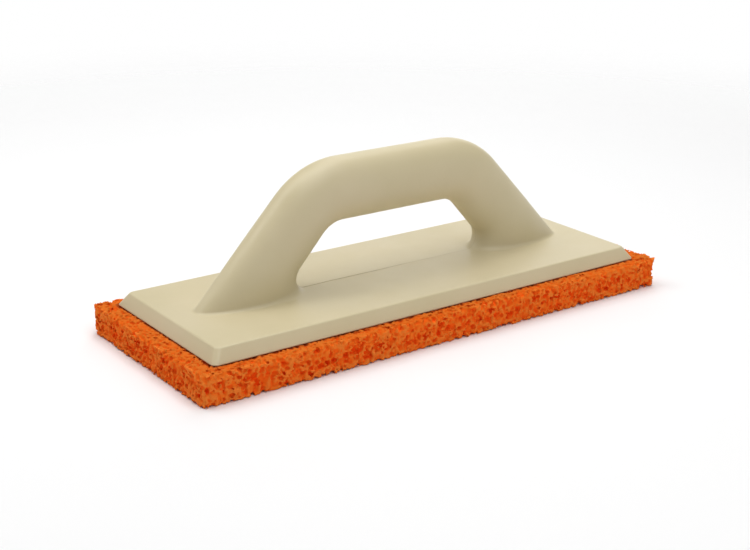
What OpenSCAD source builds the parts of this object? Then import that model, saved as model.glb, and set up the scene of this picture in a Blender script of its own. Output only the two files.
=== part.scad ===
// Sponge float: a one-piece moulded handle and backing plate glued to a coarse sponge pad.
// Origin: centre of the sponge's working face. +X runs along the float, +Z points up to the grip.

/* [Sponge pad] */
// Length of the sponge, the longest dimension of the tool
sponge_length = 340; // [280:5:400]
// Width of the sponge
sponge_width = 133; // [110:1:160]
// Thickness of the sponge
sponge_thickness = 18; // [10:1:30]
// Radius of the sponge's four upright corners
sponge_corner_radius = 3; // [1:0.5:8]

/* [Adhesive film] */
// Thickness of the cured adhesive between sponge and plate
film_thickness = 0.4; // [0.2:0.1:1]
// How far the film stops short of the plate's edge
film_setback = 1; // [0:0.5:4]

/* [Backing plate] */
// How far the sponge stands out past each end of the plate
end_margin = 11.4; // [2:0.2:20]
// How far the sponge stands out past each long side of the plate
side_margin = 8.5; // [2:0.5:15]
// Thickness of the plate
plate_thickness = 8.1; // [6:0.1:14]
// How far the plate's sloping sides lean in between bottom and top
bevel_run = 5; // [2:0.5:8]
// Radius of the plate's upright corners
plate_corner_radius = 3.5; // [3:0.5:8]
// Radius that softens the plate's top edge
plate_edge_radius = 1.6; // [0.5:0.1:2.5]

/* [Handle] */
// Width of the grip, across the float
grip_width = 28; // [24:1:36]
// Depth of the grip, from its top to its underside
grip_depth = 39; // [30:1:46]
// Free height for the fingers between plate and grip
hand_clearance = 39; // [32:1:50]
// Length of the grip's straight top
grip_straight = 76; // [60:2:110]
// Radius of the bend inside the hand opening
inner_bend_radius = 19.5; // [10:0.5:30]
// Slope of the legs' outer faces below the horizontal, in degrees
outer_lean = 46.3; // [40:0.1:60]
// Slope of the legs' inner faces below the horizontal, in degrees
inner_lean = 48.2; // [40:0.1:60]

/* [Feet] */
// Radius that fills the sharp corner between plate and leg in the hand opening
toe_radius = 8.8; // [3:0.2:10]
// Radius of the soft blend round the rest of each foot
foot_blend_radius = 2.5; // [1:0.5:4]

/* [Parting line] */
// Rise of the plate's top towards the parting line in the hand opening
crown_height = 0.5; // [0.2:0.1:1]
// Distance from the parting line to where that rise starts
crown_reach = 42; // [20:1:46]

/* [Smoothness] */
// Points round the grip's section
section_points = 40; // [24:4:64]
// Sections along each bend and each foot blend
bend_steps = 12; // [8:1:16]

/* [Hidden] */

moulding_colour = [0.80, 0.74, 0.60];
film_colour = [0.45, 0.30, 0.16];
sponge_colour = [0.80, 0.33, 0.10];

plate_length = sponge_length - 2 * end_margin;
plate_width = sponge_width - 2 * side_margin;
plate_bottom_z = sponge_thickness + film_thickness;
plate_top_z = plate_bottom_z + plate_thickness;
plate_land = 0.5;                 // upright strip below the sloping sides

// The grip's section is an oval: a superellipse with this exponent, a little fuller than an ellipse
oval_power = 2.15;
outer_bend_radius = inner_bend_radius + grip_depth;
bend_x = grip_straight / 2;       // centre that both bends turn about, right-hand side
bend_z = plate_top_z + hand_clearance - inner_bend_radius;

// Where the straight faces of the leg would meet the plate's top
outer_toe_x = face_foot(outer_bend_radius, outer_lean);
inner_toe_x = face_foot(inner_bend_radius, inner_lean);

// Centre line of the round fillet in the hand opening's lower corner, and the fillet's height
toe_centre_x = inner_toe_x - toe_radius / tan(inner_lean / 2);
toe_height = toe_radius * (1 + cos(inner_lean));
foot_embed = 2;                   // how deep the handle's ends run into the plate
ridge_width = 0.5;                // flat on top of the rise, along the parting line

function face_foot(radius, lean) = bend_x + radius / sin(lean) + (bend_z - plate_top_z) / tan(lean);
function bend_point(radius, angle) = [bend_x + radius * sin(angle), bend_z + radius * cos(angle)];

// Faces of the right-hand leg at a height above the plate
function outer_face_x(height) =
    outer_toe_x - height / tan(outer_lean) + blend(height) * tan(outer_lean / 2);
function inner_face_x(height) =
    height < toe_height
        ? toe_centre_x + sqrt(max(0, pow(toe_radius, 2) - pow(height - toe_radius, 2)))
        : inner_toe_x - height / tan(inner_lean);
// Outward spread of a quarter-round blend, from its full radius on the plate to nothing
function blend(height) =
    height >= foot_blend_radius ? 0
        : foot_blend_radius - sqrt(pow(foot_blend_radius, 2) - pow(foot_blend_radius - height, 2));

// One closed section of the handle: an oval between a point on the outer and one on the inner face
function oval(outer, inner, half_width) = [
    for (i = [0 : section_points - 1])
        let (
            angle = 360 * i / section_points,
            along = sign(cos(angle)) * pow(abs(cos(angle)), 2 / oval_power),
            across = sign(sin(angle)) * pow(abs(sin(angle)), 2 / oval_power),
            middle = (outer + inner) / 2,
            reach = (outer - inner) / 2
        )
        [middle.x + reach.x * along, half_width * across, middle.y + reach.y * along]
];

function foot_oval(height) = oval(
    [outer_face_x(height), plate_top_z + height],
    [inner_face_x(height), plate_top_z + height],
    grip_width / 2 + blend(height)
);

// Sections of the right-hand half, from the top of the bend down into the plate
half_sections = concat(
    [for (i = [0 : bend_steps])
        oval(
            bend_point(outer_bend_radius, outer_lean * i / bend_steps),
            bend_point(inner_bend_radius, inner_lean * i / bend_steps),
            grip_width / 2
        )],
    [for (i = [0 : bend_steps])
        let (turn = (180 - inner_lean) * (1 - i / bend_steps))
        foot_oval(toe_radius * (1 - cos(turn)))],
    [[for (p = foot_oval(0)) [p.x, p.y, p.z - foot_embed]]]
);

function mirrored(section) = [for (p = section) [-p.x, p.y, p.z]];
handle_sections = concat(
    [for (i = [len(half_sections) - 1 : -1 : 0]) mirrored(half_sections[i])],
    half_sections
);

// Skin over a row of sections that all have the same number of points
module loft(sections) {
    count = len(sections[0]);
    last = len(sections) - 1;
    polyhedron(
        points = [for (section = sections) each section],
        faces = concat(
            [[for (i = [count - 1 : -1 : 0]) i]],
            [for (s = [0 : last - 1], i = [0 : count - 1])
                let (a = s * count + i, b = s * count + (i + 1) % count)
                each [[a, b, b + count], [a, b + count, a + count]]],
            [[for (i = [0 : count - 1]) last * count + i]]
        ),
        convexity = 6
    );
}

module rounded_rectangle(length, width, radius) {
    square([length - 2 * radius, width], center = true);
    square([length, width - 2 * radius], center = true);
    for (x = [-1, 1], y = [-1, 1])
        translate([x * (length / 2 - radius), y * (width / 2 - radius)])
            circle(radius, $fn = 48);
}

// Copies of one shape at the four corners of a rectangle
module at_corners(length, width) {
    for (x = [-1, 1], y = [-1, 1])
        translate([x * length / 2, y * width / 2, 0])
            children();
}

module plate() {
    r = plate_corner_radius;
    e = plate_edge_radius;
    hull() {
        at_corners(plate_length - 2 * r, plate_width - 2 * r)
            cylinder(r = r, h = plate_land, $fn = 32);
        translate([0, 0, plate_thickness - e])
            at_corners(plate_length - 2 * (r + bevel_run), plate_width - 2 * (r + bevel_run))
                rotate_extrude($fn = 32)
                    translate([r - e, 0])
                        circle(e, $fn = 16);
    }
}

// Very low hipped rise on the plate in the hand opening: its ridge is the parting line
module crown() {
    hull() {
        translate([0, 0, -foot_embed / 2])
            cube([2 * (toe_centre_x + crown_reach), 2 * crown_reach, foot_embed], center = true);
        translate([-toe_centre_x, -ridge_width / 2, 0])
            cube([2 * toe_centre_x, ridge_width, crown_height]);
    }
}

module float_body() {
    color(moulding_colour) {
        translate([0, 0, plate_bottom_z])
            plate();
        translate([0, 0, plate_top_z])
            crown();
        loft(handle_sections);
    }
}

module adhesive_film() {
    color(film_colour)
        translate([0, 0, sponge_thickness])
            linear_extrude(film_thickness)
                rounded_rectangle(
                    plate_length - 2 * film_setback,
                    plate_width - 2 * film_setback,
                    plate_corner_radius
                );
}

module sponge_pad() {
    color(sponge_colour)
        linear_extrude(sponge_thickness)
            rounded_rectangle(sponge_length, sponge_width, sponge_corner_radius);
}

float_body();
adhesive_film();
sponge_pad();
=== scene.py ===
"""Sponge float: a one-piece moulded handle and plate glued to a coarse orange sponge pad.

Lengths in this file are millimetres unless a name says otherwise; meshes are made in metres.
+X runs along the float, +Z points up to the grip, and the sponge's working face is on Z = 0.
"""

import math

import bmesh
import bpy
import numpy as np
import openvdb
from mathutils import Matrix, Vector


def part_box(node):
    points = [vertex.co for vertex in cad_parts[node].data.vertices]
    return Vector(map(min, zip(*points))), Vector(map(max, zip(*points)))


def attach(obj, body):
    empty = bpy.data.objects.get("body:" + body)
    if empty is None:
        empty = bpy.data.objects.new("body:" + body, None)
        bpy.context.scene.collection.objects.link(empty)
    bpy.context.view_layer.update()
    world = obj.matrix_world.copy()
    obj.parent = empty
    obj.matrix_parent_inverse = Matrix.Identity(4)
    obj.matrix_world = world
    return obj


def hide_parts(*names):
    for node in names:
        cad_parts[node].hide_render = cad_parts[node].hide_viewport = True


MM = 0.001
# Guards against dividing by nothing
TINY = 1e-6
LEAST_DEPTH = 1.0
LEAST_OVAL = 1e-3
LEAST_SLOPE = 1e-4
LEAST_SINE_SQUARED = 1e-4
# Places of the colour sockets on Blender's Mix node, whose names repeat
MIX_COLOUR_A, MIX_COLOUR_B, MIX_COLOUR_RESULT = 6, 7, 2

# Plate
BEVEL_RUN = 5.0
PLATE_CORNER_RADIUS = 3.5
PLATE_EDGE_RADIUS = 1.6
PLATE_FOOT_RADIUS = 0.35
PLATE_LAND = 0.5
PLATE_THICKNESS = 8.1

# Handle. Its outer and inner outlines bend round the same two lines, one on each side, which lie
# BEND_X from the middle and BEND_RISE above the plate
GRIP_HALF_WIDTH = 14.0
GRIP_DEPTH = 39.0
HAND_CLEARANCE = 39.0
BEND_X = 38.0
INNER_BEND_RADIUS = 19.5
OUTER_BEND_RADIUS = INNER_BEND_RADIUS + GRIP_DEPTH
BEND_RISE = HAND_CLEARANCE - INNER_BEND_RADIUS
OUTER_LEAN = math.radians(46.3)
INNER_LEAN = math.radians(48.2)
OVAL_POWER = 2.15

# Round lower corners of the hand opening, and where they touch the plate
TOE_RADIUS = 8.8
TOE_X = (
    BEND_X
    + INNER_BEND_RADIUS / math.sin(INNER_LEAN)
    + BEND_RISE / math.tan(INNER_LEAN)
    - TOE_RADIUS / math.tan(INNER_LEAN / 2)
)

# Blend round each foot, wider on the side of the hand opening, and how deep a foot goes in the plate
FOOT_RADIUS = 2.5
FOOT_INNER_RADIUS = 5.0
FOOT_EMBED = 3.0

# Low hipped rise on the plate in the hand opening
CROWN_HEIGHT = 0.5
CROWN_REACH = 42.0
RIDGE_HALF_WIDTH = 0.25

# The mould's parting line along its ridge: a bead that wanders, and fades towards the right. It ends
# a little way outside the opening's outline and a little below the plate's top
BEAD_HEIGHT = 0.28
BEAD_HALF_WIDTH = 0.3
BEAD_FAINTEST = 0.25
BEAD_FADE_END = 40.0
BEAD_FADE_LENGTH = 60.0
BEAD_WANDER = 0.15
LONG_WAVE = 9.0
SHORT_WAVE, SHORT_WAVE_SHARE, SHORT_WAVE_START = 3.7, 0.6, 1.0
BEAD_OUTSIDE, BEAD_OUTSIDE_FADE = 4.0, 3.0
BEAD_BELOW, BEAD_BELOW_FADE = 3.0, 2.0

# Grid on which the moulding's surface is found: space between its lines, closest at the parting line
# (end and step of each stretch away from it), close near the plate's rim and its thickness
LINE_STRETCHES = ((0.9, 0.18), (2.5, 0.4), (17.0, 1.0))
LENGTH_STEP = 1.3
WIDTH_STEP = 1.6
RIM_BAND, RIM_STEP = 9.0, 0.7
PLATE_BAND, PLATE_STEP = 12.0, 0.55
HANDLE_STEP = 1.3
ROOM_ROUND, ROOM_UNDER, ROOM_ABOVE = 1.8, 1.5, 3.0

# How the surface is then moved on to the true shape
BODY_FIELD_LIMIT = 4.0
SETTLE_PASSES = 4
SETTLE_LIMIT = 0.6
LEAST_SLOPE_SQUARED = 0.05
SETTLE_SLOPE_STEP = 0.02
NORMAL_SLOPE_STEP = 0.12
FLAT_WITHIN_M = 2e-6

# Sponge block
SPONGE_VOXEL = 0.5
SPONGE_MARGIN_VOXELS = 3
SPONGE_ADAPTIVITY = 0.9
SPONGE_FIELD_LIMIT = 2.0
SPONGE_CORNER_RADIUS = 3.0
SPONGE_SEED = 7
ROUGH_SIZE, ROUGH_HEIGHT = 1.2, 0.25
SWELL_SIZE, SWELL_HEIGHT = 7.0, 0.22
GRAIN_HEIGHT = 0.10
PROUD = 0.25

# For each size of the sponge's cells: lattice spacing, smallest and largest radius, share kept, how
# many radii deep a centre may lie in the sides and in the rim, and how far in from the sides
CELLS = (
    (3.3, 1.2, 1.8, 0.90, 0.80, 0.20, math.inf),
    (2.2, 0.8, 1.15, 1.00, 0.70, 0.40, math.inf),
    (1.5, 0.45, 0.7, 0.80, 0.45, 0.40, 12.0),
)
CELL_SCATTER = 0.4
CELL_STRETCH = (0.7, 1.35)
CELL_ROUGHNESS = 0.3
CELL_MARGIN = 0.8
# Radii deep in the working face, and share of the depth left near the top and bottom of the sides
FACE_DEPTH = 0.6
EDGE_DEPTH = 0.4
MIDDLE_SPREAD = 0.6
# The glued seat under the plate, and the whole layer kept under it: in radii, and in mm on top
SEAT_INSET = 1.0
SEAT_LAYER_RADII, SEAT_LAYER = 1.3, 1.0

# Where the sponge's rim, which gets painted shade, and the painted shadow along the plate's edge lie:
# below its top, in from its sides, out from the plate
TOP_BAND, TOP_BAND_FADE = 2.0, 1.4
RIM_OUTSIDE, RIM_FADE = 0.2, 1.6
PLATE_SHADE_REACH = 1.3

# Colours, as scene-linear red, green and blue; a list of stops is (place, colour)
MOULDING_STOPS = [
    (0.32, (0.573, 0.497, 0.309)),
    (0.50, (0.590, 0.513, 0.325)),
    (0.68, (0.605, 0.525, 0.341)),
]
# Painted shade along the parting line's bead, which is too fine for the mesh to shade
PARTING_LINE_SHADE = (0.22, 0.155, 0.09)
FILM_STOPS = [(0.3, (0.10, 0.045, 0.02)), (0.7, (0.17, 0.08, 0.035))]
# Sponge tone by depth in the cells, with a random cloud added: painted shade, redder and darker deeper
# in
SPONGE_STOPS = [
    (0.0, (0.83, 0.200, 0.027)),
    (0.3, (0.87, 0.150, 0.012)),
    (1.0, (0.88, 0.085, 0.004)),
]
# Painted shade on the top of the sponge's rim, which the overhead light lights strongly
RIM_SHADE = (0.78, 0.76, 0.62)
# Painted shadow on the sponge along the plate's edge
PLATE_EDGE_SHADE = (0.30, 0.050, 0.012)
FLOOR_COLOUR = (0.88, 0.88, 0.88)
WORLD_COLOUR = (1.0, 1.0, 1.0)

# Roughness and specular level of each material
MOULDING_FINISH = (0.42, 0.45)
FILM_FINISH = (0.35, 0.5)
SPONGE_FINISH = (0.9, 0.05)
FLOOR_FINISH = (0.9, 0.2)

# Noises in the materials: scale per metre, detail and roughness
MOULDING_CLOUD = (18, 3, 0.55)
LINE_SHADE_NOISE = (70, 2, 0.6)
GLOSS_NOISE = (45, 4, 0.6)
PEEL_NOISE = (520, 3, 0.5)
FILM_CLOUD = (160, 3, 0.5)
SPONGE_CLOUD = (110, 3, 0.6)
PLATE_SHADE_NOISE = (45, 3, 0.6)

# Ranges in the materials: two input values, and the output values they become
LINE_SHADE_PATCHES = (0.38, 0.62, 0.25, 0.9)
MOULDING_ROUGHNESS = (0.3, 0.7, 0.36, 0.48)
CELL_DEPTHS = (-0.3, 2.0, 0.0, 1.0)
PLATE_SHADE_SPREAD = (0.08, 0.42, 0.0, 0.85)
UNEVEN_GAIN, UNEVEN_OFFSET = 0.5, -0.25
PEEL_STRENGTH, PEEL_HEIGHT_M = 0.25, 0.00012

# Camera
CAMERA_PLACE_M = (-0.4844, -0.6503, 0.3088)
CAMERA_YAW = math.radians(-36.08)
CAMERA_PITCH = math.radians(19.49)
CAMERA_ROLL = math.radians(0.50)
LENS = 65.76
SENSOR = 36.0

# Studio. The surroundings' strength goes from its first value to its second between two heights,
# given as the sine of the angle above the horizon
WORLD_STRENGTH = (0.10, 0.26, 1.0, 0.02)
FLOOR_DROP_M = 0.0001
FLOOR_FADE_START_M = 0.4
FLOOR_FADE_END_M = 1.0
FLOOR_SIDE_M = 4.0
SOFTBOX_DISTANCE_M = 1.6
SOFTBOX_SIDE_M = 1.0
# Name, direction from the origin and power in watts of each softbox
SOFTBOXES = (
    ("overhead_softbox", (0.0, 0.0, 1.0), 13.6),
    ("rear_left_softbox", (-0.42, 0.42, 0.81), 8.6),
    ("rear_right_softbox", (0.42, 0.42, 0.81), 6.0),
    ("front_softbox", (0.0, -0.59, 0.81), 7.5),
    ("low_rear_softbox", (0.67, 0.67, 0.31), 2.6),
)


def box_mm(node):
    low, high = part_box(node)
    return np.array(low) / MM, np.array(high) / MM


def graded(start, *stretches):
    """Grid lines from start through stretches of (end, step)."""
    lines = [start]
    for end, step in stretches:
        count = max(1, round((end - lines[-1]) / step))
        lines.extend(np.linspace(lines[-1], end, count + 1)[1:])
    return np.array(lines)


def mirrored(lines):
    return np.concatenate([-lines[::-1], lines[1:]])


def contour(field, axes, adaptivity):
    """Points in mm and faces of the field's zero surface, on a grid with lines at axes."""
    grid = openvdb.FloatGrid(float(np.abs(field).max()))
    grid.copyFromArray(field)
    points, triangles, quads = grid.convertToPolygons(isovalue=0.0, adaptivity=adaptivity)
    places = np.stack(
        [np.interp(points[:, k], np.arange(len(axes[k])), axes[k]) for k in range(3)], 1
    )
    return places, triangles, quads


def mesh_object(name, points, faces):
    """A new object from points in mm and lists of face corners, all the same way round."""
    mesh = bpy.data.meshes.new(name)
    corners = np.concatenate([f.ravel() for f in faces]).astype(np.int32)
    sizes = np.concatenate([np.full(len(f), f.shape[1]) for f in faces if len(f)])
    mesh.vertices.add(len(points))
    mesh.vertices.foreach_set("co", (points * MM).astype(np.float32).ravel())
    mesh.loops.add(len(corners))
    mesh.loops.foreach_set("vertex_index", corners)
    mesh.polygons.add(len(sizes))
    starts = np.concatenate([[0], np.cumsum(sizes)[:-1]]).astype(np.int32)
    mesh.polygons.foreach_set("loop_start", starts)
    mesh.update(calc_edges=True)
    mesh.validate()
    obj = bpy.data.objects.new(name, mesh)
    bpy.context.scene.collection.objects.link(obj)
    return obj


def set_values(obj, name, values):
    """Stores one number per vertex under a name, for the object's material."""
    attribute = obj.data.attributes.new(name, "FLOAT", "POINT")
    attribute.data.foreach_set("value", values.astype(np.float32))


def eased(part):
    """Eases a share from 0 to 1 in and out."""
    return part * part * (3 - 2 * part)


# Float body ------------------------------------------------------------------------------


def outline_distance(x, z, base_z, lean, radius):
    """Distance outside one outline of the handle, and how far its normal points up.

    The outline is a symmetric trapezoid that stands on the plate and has round top corners.
    """
    side_x, side_z = math.sin(lean), math.cos(lean)
    from_x, from_z = np.abs(x) - BEND_X, z - base_z - BEND_RISE
    side = from_x * side_x + from_z * side_z - radius
    top = from_z - radius
    in_corner = (from_x > 0) & (from_z * side_x > from_x * side_z)
    reach = np.maximum(np.hypot(from_x, from_z), TINY)
    out = np.where(in_corner, reach - radius, np.maximum(side, top))
    rise = np.where(in_corner, from_z / reach, np.where(side > top, side_z, 1.0))
    return out, rise


def opening_distance(hole, hole_rise, floor):
    """The hand opening's outline with round lower corners: distance, and rise of its normal."""
    opening = rounded_meet(hole, floor, -hole_rise, TOE_RADIUS)
    in_toe = opening > np.maximum(hole, floor) + TINY
    toe_rise = -(TOE_RADIUS + floor) / np.maximum(opening + TOE_RADIUS, TINY)
    return opening, np.where(in_toe, toe_rise, np.where(hole > floor, hole_rise, -1.0))


def handle_distance(x, y, z, base_z):
    """Near distance outside the handle, and three more things at each point.

    They are how far the handle's surface faces up, the distance outside the hand opening's plain
    outline, and how far the point is towards the opening's side of the leg, from 0 to 1.
    The handle's section is an oval between its outer outline and the opening. It ends in the plate.
    """
    outer, outer_rise = outline_distance(x, z, base_z, OUTER_LEAN, OUTER_BEND_RADIUS)
    hole, hole_rise = outline_distance(x, z, base_z, INNER_LEAN, INNER_BEND_RADIUS)
    floor = base_z - z
    opening, opening_rise = opening_distance(hole, hole_rise, floor)
    depth = np.maximum(opening - outer, LEAST_DEPTH)
    along = (opening + outer) / depth
    across = y / GRIP_HALF_WIDTH
    p = OVAL_POWER
    oval = np.maximum((np.abs(along) ** p + np.abs(across) ** p) ** (1 / p), LEAST_OVAL)
    pull_along = np.abs(along) ** (p - 1) * np.sign(along) * 2 / depth
    pull_across = np.abs(across) ** (p - 1) / GRIP_HALF_WIDTH
    scale = oval ** (1 - p)
    slope = np.maximum(scale * np.hypot(pull_along, pull_across), LEAST_SLOPE)
    upward = scale * pull_along * np.where(along > 0, outer_rise, opening_rise) / slope
    distance = np.maximum((oval - 1) / slope, floor - FOOT_EMBED)
    return distance, upward, hole, np.clip(-along, 0, 1)


def rounded_join(first, second, cosine, radius):
    """Union of two solids with a round fillet; cosine is that of the angle between their normals."""
    a, b = radius - first, radius - second
    sine_squared = np.maximum(1 - cosine**2, LEAST_SINE_SQUARED)
    along = (a - b * cosine) / sine_squared
    across = (b - a * cosine) / sine_squared
    reach = np.sqrt(np.maximum(a**2 + b**2 - 2 * a * b * cosine, 0) / sine_squared)
    return np.where((along > 0) & (across > 0), radius - reach, np.minimum(first, second))


def rounded_meet(first, second, cosine, radius):
    """Intersection of two solids with a round edge."""
    return -rounded_join(-first, -second, cosine, radius)


def plate_distance(x, y, z, half, bottom_z):
    """Distance outside the bevelled plate with its low crown."""
    top_z = bottom_z + PLATE_THICKNESS
    lean = math.atan2(BEVEL_RUN, PLATE_THICKNESS - PLATE_LAND)
    run = np.clip(z - bottom_z - PLATE_LAND, 0, None) * math.tan(lean)
    r = PLATE_CORNER_RADIUS
    past_x = np.abs(x) - (half[0] - r) + run
    past_y = np.abs(y) - (half[1] - r) + run
    corner = np.hypot(np.maximum(past_x, 0), np.maximum(past_y, 0))
    side = (corner + np.minimum(np.maximum(past_x, past_y), 0) - r) * math.cos(lean)
    rise = np.minimum((CROWN_REACH - np.abs(y)) / (CROWN_REACH - RIDGE_HALF_WIDTH), 1)
    hip = np.minimum((TOE_X + CROWN_REACH - np.abs(x)) / CROWN_REACH, 1)
    top = z - top_z - CROWN_HEIGHT * np.maximum(np.minimum(rise, hip), 0)
    upper = rounded_meet(side, top, math.sin(lean), PLATE_EDGE_RADIUS)
    return rounded_meet(upper, bottom_z - z, 0.0, PLATE_FOOT_RADIUS)


def parting_line(x, y, z, hole, base_z):
    """How much of the mould's parting line is at a point: 1 on its crest, inside the hand opening."""
    inside = np.clip((BEAD_OUTSIDE - hole) / BEAD_OUTSIDE_FADE, 0, 1)
    above = np.clip((z - base_z + BEAD_BELOW) / BEAD_BELOW_FADE, 0, 1)
    clear = np.clip((BEAD_FADE_END - x) / BEAD_FADE_LENGTH, 0, 1)
    short_wave = SHORT_WAVE_SHARE * np.sin(x / SHORT_WAVE + SHORT_WAVE_START)
    wander = BEAD_WANDER * (np.sin(x / LONG_WAVE) + short_wave)
    crest = np.exp(-(((y - wander) / BEAD_HALF_WIDTH) ** 2))
    return crest * (inside * above) * (BEAD_FAINTEST + (1 - BEAD_FAINTEST) * clear)


def body_distance(points, half, bottom_z):
    """Distance outside the whole moulding, and how much of the parting line is there."""
    x, y, z = points
    base_z = bottom_z + PLATE_THICKNESS
    plate = plate_distance(x, y, z, half, bottom_z)
    handle, upward, hole, inner = handle_distance(x, y, z, base_z)
    radius = FOOT_RADIUS + (FOOT_INNER_RADIUS - FOOT_RADIUS) * eased(inner)
    line = parting_line(x, y, z, hole, base_z)
    return rounded_join(plate, handle, upward, radius) - BEAD_HEIGHT * line, line


def body_gradient(points, half, bottom_z, step):
    """Distance at each point and its gradient, by central differences."""
    value = body_distance(points.T, half, bottom_z)[0]
    slopes = [
        body_distance((points + move).T, half, bottom_z)[0]
        - body_distance((points - move).T, half, bottom_z)[0]
        for move in step * np.eye(3)
    ]
    return value, np.stack(slopes, 1) / (2 * step)


def body_axes(half, bottom_z, top_z):
    """Grid lines round the moulding."""
    rim_x, rim_y = half - RIM_BAND
    end_x, end_y = half + ROOM_ROUND
    return (
        mirrored(graded(0, (rim_x, LENGTH_STEP), (end_x, RIM_STEP))),
        mirrored(graded(0, *LINE_STRETCHES, (rim_y, WIDTH_STEP), (end_y, RIM_STEP))),
        graded(
            bottom_z - ROOM_UNDER,
            (bottom_z + PLATE_BAND, PLATE_STEP),
            (top_z + ROOM_ABOVE, HANDLE_STEP),
        ),
    )


def make_float_body():
    """The moulding: found on a grid, moved on to the true shape, and shaded by it."""
    low, high = box_mm("float_body")
    half = (high - low)[:2] / 2
    bottom_z = low[2]
    axes = body_axes(half, bottom_z, high[2])
    field = body_distance(np.meshgrid(*axes, indexing="ij", sparse=True), half, bottom_z)[0]
    field = np.clip(field, -BODY_FIELD_LIMIT, BODY_FIELD_LIMIT).astype(np.float32)
    points, triangles, quads = contour(field, axes, 0.0)
    for _ in range(SETTLE_PASSES):
        value, slope = body_gradient(points, half, bottom_z, SETTLE_SLOPE_STEP)
        squared = np.maximum((slope**2).sum(1), LEAST_SLOPE_SQUARED)
        points = points - slope * np.clip(value / squared, -SETTLE_LIMIT, SETTLE_LIMIT)[:, None]
    body = mesh_object("float_body_moulding", points, [quads, triangles])
    set_values(body, "parting_line", body_distance(points.T, half, bottom_z)[1])
    flatten_underside(body, bottom_z)
    shade_by_shape(body, half, bottom_z)
    return body


def flatten_underside(body, bottom_z):
    """Joins the many small faces of the flat underside into one."""
    bm = bmesh.new()
    bm.from_mesh(body.data)
    level = bottom_z * MM
    flat = [f for f in bm.faces if all(abs(v.co.z - level) < FLAT_WITHIN_M for v in f.verts)]
    bmesh.ops.dissolve_faces(bm, faces=flat, use_verts=False)
    bm.to_mesh(body.data)
    bm.free()


def shade_by_shape(body, half, bottom_z):
    """Vertex normals from the true shape, so that no grid shows in the reflections."""
    mesh = body.data
    mesh.shade_smooth()
    places = np.zeros(len(mesh.vertices) * 3)
    mesh.vertices.foreach_get("co", places)
    _, slope = body_gradient(places.reshape(-1, 3) / MM, half, bottom_z, NORMAL_SLOPE_STEP)
    normals = slope / np.maximum(np.linalg.norm(slope, axis=1), TINY)[:, None]
    mesh.normals_split_custom_set_from_vertices(normals.astype(np.float32).tolist())


# Sponge ----------------------------------------------------------------------------------


def eased_noise(rng, axes, scale):
    """Smooth random field: values on a coarse lattice, eased between its points."""
    spans = [(a - a[0]) / scale for a in axes]
    field = rng.standard_normal([int(s[-1]) + 2 for s in spans]).astype(np.float32)
    for k in (2, 1, 0):
        at = spans[k].astype(int)
        shape = [1, 1, 1]
        shape[k] = -1
        part = eased(spans[k] - at).reshape(shape).astype(np.float32)
        field = np.take(field, at, k) * (1 - part) + np.take(field, at + 1, k) * part
    return field


def block_distance(x, y, z, low, high):
    """Distances outside the plain block's sides, with round upright corners, its top and its bottom."""
    r = SPONGE_CORNER_RADIUS
    past_x = np.abs(x) - high[0] + r
    past_y = np.abs(y) - high[1] + r
    corner = np.hypot(np.maximum(past_x, 0), np.maximum(past_y, 0))
    sides = corner + np.minimum(np.maximum(past_x, past_y), 0) - r
    return sides, z - high[2], low[2] - z


def on_seat(x, y, seat):
    """Whether points lie within the glued seat's half size."""
    return (np.abs(x) < seat[0]) & (np.abs(y) < seat[1])


def scatter_cells(rng, low, high, spacing, least, most, kept):
    """Centres, radii and stretches of one size of cell, all through the block."""
    lines = [np.arange(a - spacing, b + spacing, spacing) for a, b in zip(low, high)]
    places = np.stack(np.meshgrid(*lines, indexing="ij"), -1).reshape(-1, 3)
    places += rng.uniform(-CELL_SCATTER, CELL_SCATTER, places.shape) * spacing
    places = places[rng.random(len(places)) < kept]
    radii = rng.uniform(least, most, len(places))
    return places, radii, rng.uniform(*CELL_STRETCH, (len(places), 3))


def cells_shown(places, radii, low, high, seat, side_depth, rim_depth, band):
    """Which cells open in the sides, the rim or the working face and spare the glued seat."""
    x, y, z = places.T
    side = np.minimum(high[0] - np.abs(x), high[1] - np.abs(y))
    under_top = high[2] - z
    seated = on_seat(x, y, seat)
    height = (2 * z - low[2] - high[2]) / (high[2] - low[2])
    middle = EDGE_DEPTH + (1 - EDGE_DEPTH) * np.exp(-((height / MIDDLE_SPREAD) ** 2))
    shown = (side < side_depth * middle * radii) | (~seated & (under_top < rim_depth * radii))
    shown |= z - low[2] < FACE_DEPTH * radii
    shown &= ~(seated & (under_top < SEAT_LAYER_RADII * radii + SEAT_LAYER))
    return shown & (side < band)


def cut_cells(field, axes, rough, places, radii, stretches):
    """Carves cells out of the block's field, with rough walls."""
    start = np.array([a[0] for a in axes])
    count = np.array(field.shape)
    for place, radius, stretch in zip(places, radii, stretches):
        reach = radius * stretch + CELL_MARGIN
        first = np.maximum(np.floor((place - reach - start) / SPONGE_VOXEL).astype(int), 0)
        last = np.minimum(np.ceil((place + reach - start) / SPONGE_VOXEL).astype(int) + 1, count)
        if (last <= first).any():
            continue
        part = tuple(slice(a, b) for a, b in zip(first, last))
        x, y, z = [((axes[k][part[k]] - place[k]) / stretch[k]) ** 2 for k in range(3)]
        away = np.sqrt(x[:, None, None] + y[None, :, None] + z[None, None, :])
        np.maximum(field[part], radius - away + CELL_ROUGHNESS * rough[part], out=field[part])


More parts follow.
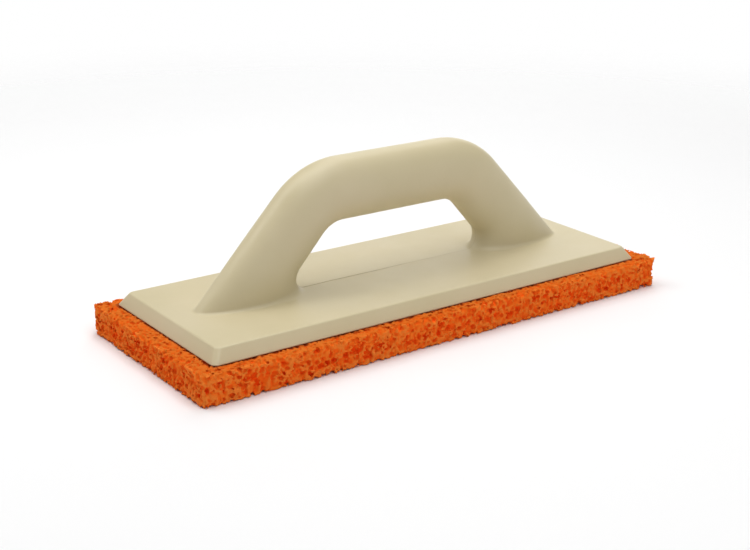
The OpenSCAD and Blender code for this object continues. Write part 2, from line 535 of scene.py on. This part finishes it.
def sponge_field(axes, low, high, seat):
    """Distance outside the pad: a rough cut block with open cells in every face that shows."""
    rng = np.random.default_rng(SPONGE_SEED)
    rough = eased_noise(rng, axes, ROUGH_SIZE)
    swell = eased_noise(rng, axes, SWELL_SIZE)
    grain = rng.standard_normal(rough.shape).astype(np.float32)
    ragged = SWELL_HEIGHT * swell + ROUGH_HEIGHT * rough + GRAIN_HEIGHT * grain - PROUD
    x, y, z = np.meshgrid(*axes, indexing="ij", sparse=True)
    sides, top, under = block_distance(x, y, z, low, high)
    field = np.maximum(sides + ragged, top + np.where(on_seat(x, y, seat), 0.0, ragged))
    field = np.maximum(field, under).astype(np.float32)
    for spacing, least, most, kept, *depths in CELLS:
        places, radii, stretches = scatter_cells(rng, low, high, spacing, least, most, kept)
        shown = cells_shown(places, radii, low, high, seat, *depths)
        cut_cells(field, axes, rough, places[shown], radii[shown], stretches[shown])
    return np.clip(field, -SPONGE_FIELD_LIMIT, SPONGE_FIELD_LIMIT)


def mark_sponge(sponge, points, low, high, plate_half):
    """Stores how deep each vertex lies in the cells, and how much rim and plate edge is there; the
    material paints shade by all three.
    """
    sides, top, under = block_distance(*points.T, low, high)
    near_top = np.clip((top + TOP_BAND) / TOP_BAND_FADE, 0, 1)
    past_plate = np.hypot(*np.maximum(np.abs(points[:, :2]) - plate_half, 0).T)
    set_values(sponge, "cell_depth", -np.maximum.reduce([sides, top, under]))
    set_values(sponge, "rim", near_top * np.clip((RIM_OUTSIDE - sides) / RIM_FADE, 0, 1))
    set_values(sponge, "plate_shade", near_top * np.clip(1 - past_plate / PLATE_SHADE_REACH, 0, 1))


def make_sponge():
    low, high = box_mm("sponge_pad")
    plate_half = box_mm("float_body")[1][:2]
    margin = SPONGE_MARGIN_VOXELS * SPONGE_VOXEL
    axes = [np.arange(a - margin, b + margin, SPONGE_VOXEL) for a, b in zip(low, high)]
    field = sponge_field(axes, low, high, plate_half - SEAT_INSET)
    points, triangles, quads = contour(field, axes, SPONGE_ADAPTIVITY)
    sponge = mesh_object("sponge_pad_cellular", points, [quads, triangles])
    sponge.data.shade_smooth()
    mark_sponge(sponge, points, low, high, plate_half)
    return sponge


# Materials -------------------------------------------------------------------------------
# In these helpers, owner is a material or the world, and a source is another node's output


def new_material(name, roughness, specular):
    material = bpy.data.materials.new(name)
    material.use_nodes = True
    shader = material.node_tree.nodes["Principled BSDF"]
    shader.inputs["Roughness"].default_value = roughness
    shader.inputs["Specular IOR Level"].default_value = specular
    return material, shader


def add(owner, kind, **settings):
    node = owner.node_tree.nodes.new(kind)
    for name, value in settings.items():
        setattr(node, name, value)
    return node


def connect(owner, source, socket):
    owner.node_tree.links.new(source, socket)


def attribute(owner, name):
    return add(owner, "ShaderNodeAttribute", attribute_name=name).outputs["Fac"]


def noise(owner, scale, detail, roughness):
    node = add(owner, "ShaderNodeTexNoise")
    node.inputs["Scale"].default_value = scale
    node.inputs["Detail"].default_value = detail
    node.inputs["Roughness"].default_value = roughness
    place = add(owner, "ShaderNodeTexCoord")
    connect(owner, place.outputs["Object"], node.inputs["Vector"])
    return node.outputs["Fac"]


def map_range(owner, source, from_low, from_high, to_low, to_high, curve="LINEAR"):
    node = add(owner, "ShaderNodeMapRange", interpolation_type=curve)
    node.inputs["From Min"].default_value = from_low
    node.inputs["From Max"].default_value = from_high
    node.inputs["To Min"].default_value = to_low
    node.inputs["To Max"].default_value = to_high
    connect(owner, source, node.inputs["Value"])
    return node.outputs["Result"]


def calculate(owner, operation, sources, numbers=()):
    """A sum on other nodes' outputs, followed by plain numbers."""
    node = add(owner, "ShaderNodeMath", operation=operation)
    for k, source in enumerate(sources):
        connect(owner, source, node.inputs[k])
    for k, number in enumerate(numbers, len(sources)):
        node.inputs[k].default_value = number
    return node.outputs["Value"]


def ramp(owner, source, stops):
    node = add(owner, "ShaderNodeValToRGB")
    elements = node.color_ramp.elements
    elements[0].position, elements[0].color = stops[0][0], (*stops[0][1], 1)
    elements[1].position, elements[1].color = stops[-1][0], (*stops[-1][1], 1)
    for place, colour in stops[1:-1]:
        elements.new(place).color = (*colour, 1)
    connect(owner, source, node.inputs["Fac"])
    return node.outputs["Color"]


def mix(owner, amount, base, colour, blend="MIX"):
    """Lays a fixed colour over a base, by an amount from 0 to 1."""
    node = add(owner, "ShaderNodeMix", data_type="RGBA", blend_type=blend)
    connect(owner, amount, node.inputs["Factor"])
    connect(owner, base, node.inputs[MIX_COLOUR_A])
    node.inputs[MIX_COLOUR_B].default_value = (*colour, 1)
    return node.outputs[MIX_COLOUR_RESULT]


def moulding_material():
    """Satin polyurethane skin: clouded tint, fine orange peel, and painted shade in patches along the
    parting line.
    """
    material, shader = new_material("moulded polyurethane", *MOULDING_FINISH)
    tint = ramp(material, noise(material, *MOULDING_CLOUD), MOULDING_STOPS)
    patches = map_range(material, noise(material, *LINE_SHADE_NOISE), *LINE_SHADE_PATCHES)
    # Painted shade in patches along the parting line's crest
    line_shade = calculate(material, "MULTIPLY", [attribute(material, "parting_line"), patches])
    connect(material, mix(material, line_shade, tint, PARTING_LINE_SHADE), shader.inputs["Base Color"])
    roughness = map_range(material, noise(material, *GLOSS_NOISE), *MOULDING_ROUGHNESS)
    connect(material, roughness, shader.inputs["Roughness"])
    bump = add(material, "ShaderNodeBump")
    bump.inputs["Strength"].default_value = PEEL_STRENGTH
    bump.inputs["Distance"].default_value = PEEL_HEIGHT_M
    connect(material, noise(material, *PEEL_NOISE), bump.inputs["Height"])
    connect(material, bump.outputs["Normal"], shader.inputs["Normal"])
    return material


def film_material():
    """Brown cured adhesive, slightly clouded."""
    material, shader = new_material("cured adhesive", *FILM_FINISH)
    tint = ramp(material, noise(material, *FILM_CLOUD), FILM_STOPS)
    connect(material, tint, shader.inputs["Base Color"])
    return material


def sponge_material():
    """Orange foam with a clouded tone, and painted shade: redder and darker down in the cells, on the
    rim's top, and along the plate's edge.
    """
    material, shader = new_material("cellular sponge", *SPONGE_FINISH)
    # Painted shade: the deeper in a cell, the redder and darker the colour
    depth = map_range(material, attribute(material, "cell_depth"), *CELL_DEPTHS)
    cloud = noise(material, *SPONGE_CLOUD)
    uneven = calculate(material, "MULTIPLY_ADD", [cloud], [UNEVEN_GAIN, UNEVEN_OFFSET])
    tint = ramp(material, calculate(material, "ADD", [depth, uneven]), SPONGE_STOPS)
    # Painted shade darkens the top of the sponge's rim
    rim_shaded = mix(material, attribute(material, "rim"), tint, RIM_SHADE, "MULTIPLY")
    # Painted shadow along the plate's edge, in patches
    plate_shade = [attribute(material, "plate_shade"), noise(material, *PLATE_SHADE_NOISE)]
    plate_shade_amount = map_range(material, calculate(material, "MULTIPLY", plate_shade), *PLATE_SHADE_SPREAD)
    connect(material, mix(material, plate_shade_amount, rim_shaded, PLATE_EDGE_SHADE), shader.inputs["Base Color"])
    return material


# Studio ----------------------------------------------------------------------------------


def floor_material():
    """Pale matt floor, which turns clear with the distance from its middle."""
    material, shader = new_material("pale studio floor", *FLOOR_FINISH)
    shader.inputs["Base Color"].default_value = (*FLOOR_COLOUR, 1)
    place = add(material, "ShaderNodeTexCoord")
    distance = add(material, "ShaderNodeVectorMath", operation="LENGTH")
    connect(material, place.outputs["Object"], distance.inputs[0])
    span = (FLOOR_FADE_START_M, FLOOR_FADE_END_M, 0.0, 1.0)
    fade = map_range(material, distance.outputs["Value"], *span, curve="SMOOTHSTEP")
    clear = add(material, "ShaderNodeBsdfTransparent")
    both = add(material, "ShaderNodeMixShader")
    connect(material, fade, both.inputs[0])
    connect(material, shader.outputs["BSDF"], both.inputs[1])
    connect(material, clear.outputs["BSDF"], both.inputs[2])
    output = material.node_tree.nodes["Material Output"]
    connect(material, both.outputs["Shader"], output.inputs["Surface"])
    return material


def make_floor():
    """Floor that fades into the lit surroundings, so that no edge or horizon shows."""
    bpy.ops.mesh.primitive_plane_add(size=FLOOR_SIDE_M, location=(0, 0, -FLOOR_DROP_M))
    floor = bpy.context.object
    floor.name = "floor"
    floor.data.materials.append(floor_material())


def make_camera():
    yaw, pitch, roll = CAMERA_YAW, CAMERA_PITCH, CAMERA_ROLL
    level = math.cos(pitch)
    back = Vector((math.sin(yaw) * level, -math.cos(yaw) * level, math.sin(pitch)))
    right = Vector((0, 0, 1)).cross(back).normalized()
    up = back.cross(right)
    turned_right = math.cos(roll) * right + math.sin(roll) * up
    turned_up = math.cos(roll) * up - math.sin(roll) * right
    data = bpy.data.cameras.new("camera")
    data.lens = LENS
    data.sensor_width = SENSOR
    camera = bpy.data.objects.new("camera", data)
    turn = Matrix((turned_right, turned_up, back)).transposed()
    camera.matrix_world = Matrix.Translation(CAMERA_PLACE_M) @ turn.to_4x4()
    bpy.context.scene.collection.objects.link(camera)
    bpy.context.scene.camera = camera


def make_softbox(name, direction, power):
    """A square softbox in a direction from the origin, facing it."""
    away = Vector(direction).normalized() * SOFTBOX_DISTANCE_M
    data = bpy.data.lights.new(name, "AREA")
    data.shape = "SQUARE"
    data.size = SOFTBOX_SIDE_M
    data.energy = power
    light = bpy.data.objects.new(name, data)
    light.location = away
    light.rotation_euler = (-away).to_track_quat("-Z", "Y").to_euler()
    bpy.context.scene.collection.objects.link(light)


def make_world():
    """White surroundings, bright to a little above the horizon and nearly dark overhead."""
    world = bpy.data.worlds.new("studio")
    world.use_nodes = True
    bpy.context.scene.world = world
    background = world.node_tree.nodes["Background"]
    background.inputs["Color"].default_value = (*WORLD_COLOUR, 1)
    place = add(world, "ShaderNodeTexCoord")
    split = add(world, "ShaderNodeSeparateXYZ")
    connect(world, place.outputs["Generated"], split.inputs["Vector"])
    strength = map_range(world, split.outputs["Z"], *WORLD_STRENGTH)
    connect(world, strength, background.inputs["Strength"])


def dress(obj, material, node):
    obj.data.materials.clear()
    obj.data.materials.append(material)
    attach(obj, "root")
    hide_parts(node)


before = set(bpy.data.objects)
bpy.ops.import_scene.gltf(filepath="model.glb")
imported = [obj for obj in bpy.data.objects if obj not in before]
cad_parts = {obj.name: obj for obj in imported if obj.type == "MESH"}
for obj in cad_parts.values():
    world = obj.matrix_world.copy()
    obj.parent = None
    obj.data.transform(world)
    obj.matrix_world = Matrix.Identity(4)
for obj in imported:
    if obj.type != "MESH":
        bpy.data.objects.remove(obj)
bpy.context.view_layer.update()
make_camera()
make_world()
for name, direction, power in SOFTBOXES:
    make_softbox(name, direction, power)
make_floor()
bpy.context.scene.view_settings.view_transform = "Standard"

body = make_float_body()
dress(body, moulding_material(), "float_body")

sponge = make_sponge()
dress(sponge, sponge_material(), "sponge_pad")

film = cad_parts["adhesive_film"]
film.data.materials.clear()
film.data.materials.append(film_material())
